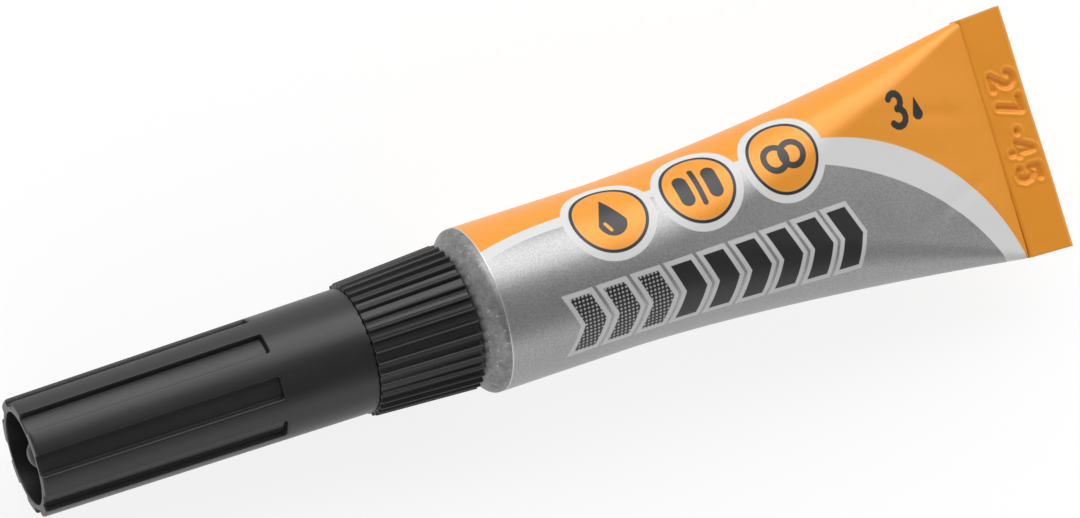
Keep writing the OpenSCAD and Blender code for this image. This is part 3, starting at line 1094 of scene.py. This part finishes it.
# it starts this far before the fold line and stops this far short of the free edge's bend
SHEET_START, SHEET_STOP = 0.15, 0.15
STRIP_ROW = 0.07
STRIP_COLUMN = 0.08
# the sheared ends are rounded over this width, by this share of the strip's thickness
CUT_ROUND, CUT_SHRINK = 0.09, 0.03
CUT_FIRST = 0.02
# the strip was folded this much out of square
STRIP_SKEW = 0.018
# its free edge wanders, and its top face is wavy: depth, rate and phase
EDGE_WANDER, EDGE_RATE, EDGE_PHASE = 0.05, 0.55, 0.4
FACE_WAVE, FACE_RATE_Y, FACE_RATE_S = 0.012, 0.9, 0.7


def code_depth(s, y):
    """How deep the pressed number is at points of the strip's top face."""
    reach = np.full(s.shape, FAR)
    at = CODE_FROM_Y
    for sign, step in zip(CODE, CODE_STEPS):
        spots = [(CODE_MID + (h - 0.5) * DIGIT_H, at - w * DIGIT_W) for w, h in DIGITS[sign]]
        for (s0, y0), (s1, y1) in zip(spots, spots[1:]):
            ds, dy = s1 - s0, y1 - y0
            t = np.clip(((s - s0) * ds + (y - y0) * dy) / (ds * ds + dy * dy), 0, 1)
            reach = np.minimum(reach, np.hypot(s - s0 - t * ds, y - y0 - t * dy))
        at -= step
    pressed = smooth((DIGIT_STROKE + PRESS_EDGE - reach) / PRESS_RUN)
    return CODE_DEPTH * pressed - SWELL * gauss(reach - DIGIT_STROKE - SWELL_AT, SWELL_WIDTH)


def bend(mid_s, mid_z, r, toward, step):
    """Points of a half round of the sheet, step degrees apart. toward is 1 where it bulges to the
    free edge and -1 where it bulges to the cap."""
    angles = np.radians(np.arange(0, HALF_TURN + 1, step))
    return [(mid_s + toward * r * math.sin(a), mid_z - toward * r * math.cos(a)) for a in angles]


def strip_outline():
    """Spiral outline of the folded sheet in (station, z): bottom layer out to the free edge, back
    over the top, tucked in at the fold line. Also marks the points of its top face."""
    half = STRIP_T / 2 - STRIP_INSET
    layer_z = half - SHEET_T / 2
    free = TOTAL_LEN - half
    tuck_r = layer_z / 2
    tuck_s = FOLD_AT + tuck_r + SHEET_T / 2 + LAYER_GAP
    middle = [(FOLD_AT - SHEET_START, -layer_z), (free - 0.01, -layer_z)]
    middle += bend(free, 0.0, layer_z, toward=1, step=BEND_STEP)
    middle += [(s, layer_z) for s in np.arange(free - STRIP_ROW, tuck_s + 0.04, -STRIP_ROW)]
    middle += bend(tuck_s, layer_z - tuck_r, tuck_r, toward=-1, step=TUCK_STEP)
    middle += [(tuck_s + 1.0, 0.0), (free - SHEET_STOP, 0.0)]
    line = np.array(middle)
    run = np.gradient(line, axis=0)
    run /= np.linalg.norm(run, axis=1)[:, None]
    normal = np.stack([run[:, 1], -run[:, 0]], -1)
    outer, inner = line + normal * SHEET_T / 2, line - normal * SHEET_T / 2
    outline = np.concatenate([outer, inner[::-1]])
    top = np.zeros(len(outline), bool)
    top[:len(outer)] = outer[:, 1] > half - 0.01
    return outline, top


def build_strip():
    outline, top = strip_outline()
    ends = [0.0, CUT_FIRST, CUT_ROUND]
    ys = np.concatenate([
        [-FOLD_HALF + off for off in ends],
        np.arange(-FOLD_HALF + 0.15, FOLD_HALF - 0.14, STRIP_COLUMN),
        [FOLD_HALF - off for off in ends[::-1]]])
    rows = []
    for y in ys:
        s, z = outline[:, 0].copy(), outline[:, 1].copy()
        # the strip widens a little towards its free edge
        share = np.clip((s - FOLD_AT) / (TOTAL_LEN - FOLD_AT), 0, 1)
        across = y * (1 + (STRIP_END_HALF / FOLD_HALF - 1) * share)
        s = s - share * EDGE_WANDER * (1 + math.sin(y * EDGE_RATE + EDGE_PHASE)) / 2
        s = s - STRIP_SKEW * (y + FOLD_HALF * share)
        press = code_depth(s, np.full(s.shape, y))
        wave = FACE_WAVE * (1 + np.sin(y * FACE_RATE_Y + s * FACE_RATE_S))
        z = np.where(top, z - press - wave, z)
        shrink = 1 - CUT_SHRINK * smooth((abs(y) - FOLD_HALF + CUT_ROUND) / CUT_ROUND)
        rows.append(np.stack([s, across, z * shrink], -1))
    rings = np.array(rows)
    # the label's first value is 1 on the two cut ends
    cut_ends = np.zeros(rings.shape)
    cut_ends[[0, -1], :, 0] = 1.0
    mesh = grid_mesh("folded_strip", rings, loop=False, values=cut_ends)
    return finish_mesh(
        "folded_strip", mesh, "tube", ["tube_body"], sharp=50)


# ---- pieces ----

build_cap().data.materials.append(black_plastic("satin_black_cap", CAP_STREAK))
build_nozzle().data.materials.append(black_plastic("satin_black_collar", COLLAR_STREAK))
build_sleeve().data.materials.append(printed_sleeve_paint())
build_shoulder().data.materials.append(bare_aluminium("bare_shoulder_metal"))
build_strip().data.materials.append(folded_strip_paint())
CAD_FINISHES = {"cap_pin": brushed_steel, "end_seal": rubber_seal, "glue_fill": liquid_glue}
for node, finish in CAD_FINISHES.items():
    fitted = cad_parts[node]
    fitted.data.materials.clear()
    fitted.data.materials.append(finish())

# ---- studio, in metres ----

FLOOR_HALF = 3.0
FLOOR_CELLS = 24
FLOOR_DROP = 0.00002
FLOOR_TONES = (0.84, 0.86)
# a camera ray sees the floor as a part of its shading over an even glow, so its shadow stays
# faint. A reflection sees a dimmer glow, so that the undersides keep their depth.
FLOOR_SHADE = 0.22
FLOOR_LIFT = 0.808
FLOOR_LIFT_MIRRORED = 0.69

SOFTBOX_AT = Vector((0.22, 0.62, 0.50))
SOFTBOX_SIZE = (2.0, 0.62)
SOFTBOX_WATTS = 9.6
FILL_AT = Vector((-0.25, -0.75, 0.42))
FILL_SIZE = (1.4, 0.5)
FILL_WATTS = 1.35

# the world over the height of a direction: where its fade starts and ends, and its strength there
WORLD_FADE_SPAN = (0.12, 0.75)
WORLD_STRENGTH = (0.85, 0.26)


def floor_paint():
    paint = Paint("studio_sweep", Roughness=0.9, Specular_IOR_Level=0.1)
    cloud = paint.noise(size_mm=60.0, detail=3.0, rough=0.5)
    pale = paint.blend(cloud, *(grey(tone) for tone in FLOOR_TONES))
    rays = paint.node("ShaderNodeLightPath").outputs
    direct, mirrored, through = (
        Num(paint.tree, rays["Is %s Ray" % kind]) for kind in ("Camera", "Glossy", "Transmission"))
    seen = direct.max(through)
    paint.set("Base Color", paint.blend(seen.max(mirrored), pale, grey(FLOOR_SHADE)))
    paint.shader.inputs["Emission Color"].default_value = (1, 1, 1, 1)
    paint.set("Emission Strength", seen * FLOOR_LIFT + mirrored * FLOOR_LIFT_MIRRORED)
    return paint.material


def build_floor():
    mesh = bpy.data.meshes.new("studio_floor")
    work = bmesh.new()
    bmesh.ops.create_grid(work, x_segments=FLOOR_CELLS, y_segments=FLOOR_CELLS, size=FLOOR_HALF)
    bmesh.ops.translate(work, verts=work.verts, vec=(0, 0, -FLOOR_DROP))
    work.to_mesh(mesh)
    work.free()
    floor = bpy.data.objects.new("studio_floor", mesh)
    bpy.context.scene.collection.objects.link(floor)
    floor.data.materials.append(floor_paint())


def area_light(name, at, size, watts):
    """A rectangular light that faces the row frame's origin."""
    light = bpy.data.lights.new(name, "AREA")
    light.shape = "RECTANGLE"
    light.size, light.size_y = size
    light.energy = watts
    holder = bpy.data.objects.new(name, light)
    holder.location = at
    holder.rotation_euler = (-at).to_track_quat("-Z", "Y").to_euler()
    bpy.context.scene.collection.objects.link(holder)


def build_world():
    """Pale all round at the horizon, dimmer overhead, so that black and metal keep their depth."""
    world = bpy.data.worlds.new("studio_world")
    bpy.context.scene.world = world
    world.use_nodes = True
    tree = world.node_tree
    back = tree.nodes["Background"]
    where = tree.nodes.new("ShaderNodeTexCoord")
    split = tree.nodes.new("ShaderNodeSeparateXYZ")
    tree.links.new(where.outputs["Generated"], split.inputs[0])
    fade = tree.nodes.new("ShaderNodeMapRange")
    fade.interpolation_type = "SMOOTHSTEP"
    for slot, number in zip(list(fade.inputs)[1:5], (*WORLD_FADE_SPAN, *WORLD_STRENGTH)):
        slot.default_value = number
    tree.links.new(split.outputs[2], fade.inputs[0])
    tree.links.new(fade.outputs[0], back.inputs["Strength"])
    back.inputs["Color"].default_value = (1, 1, 1, 1)


build_floor()
build_world()
area_light("softbox", SOFTBOX_AT, SOFTBOX_SIZE, SOFTBOX_WATTS)
area_light("fill", FILL_AT, FILL_SIZE, FILL_WATTS)

# ---- camera, fitted to the photograph's outlines ----

CAMERA_AT = Vector((-0.10866, 0.02059, 0.30809))
CAMERA_RIGHT = Vector((0.89499881, -0.29015337, 0.33880399))
CAMERA_UP = Vector((0.29205188, 0.9552666, 0.04659844))
FOCAL_MM = 135.0
CLIP_RANGE = (0.01, 20)

view = bpy.data.cameras.new("photo_camera")
view.lens = FOCAL_MM
view.clip_start, view.clip_end = CLIP_RANGE
camera = bpy.data.objects.new("photo_camera", view)
turn = Matrix((CAMERA_RIGHT, CAMERA_UP, CAMERA_RIGHT.cross(CAMERA_UP))).transposed()
camera.matrix_world = Matrix.Translation(CAMERA_AT) @ turn.to_4x4()
bpy.context.scene.collection.objects.link(camera)
bpy.context.scene.camera = camera
bpy.context.scene.view_settings.view_transform = "Standard"
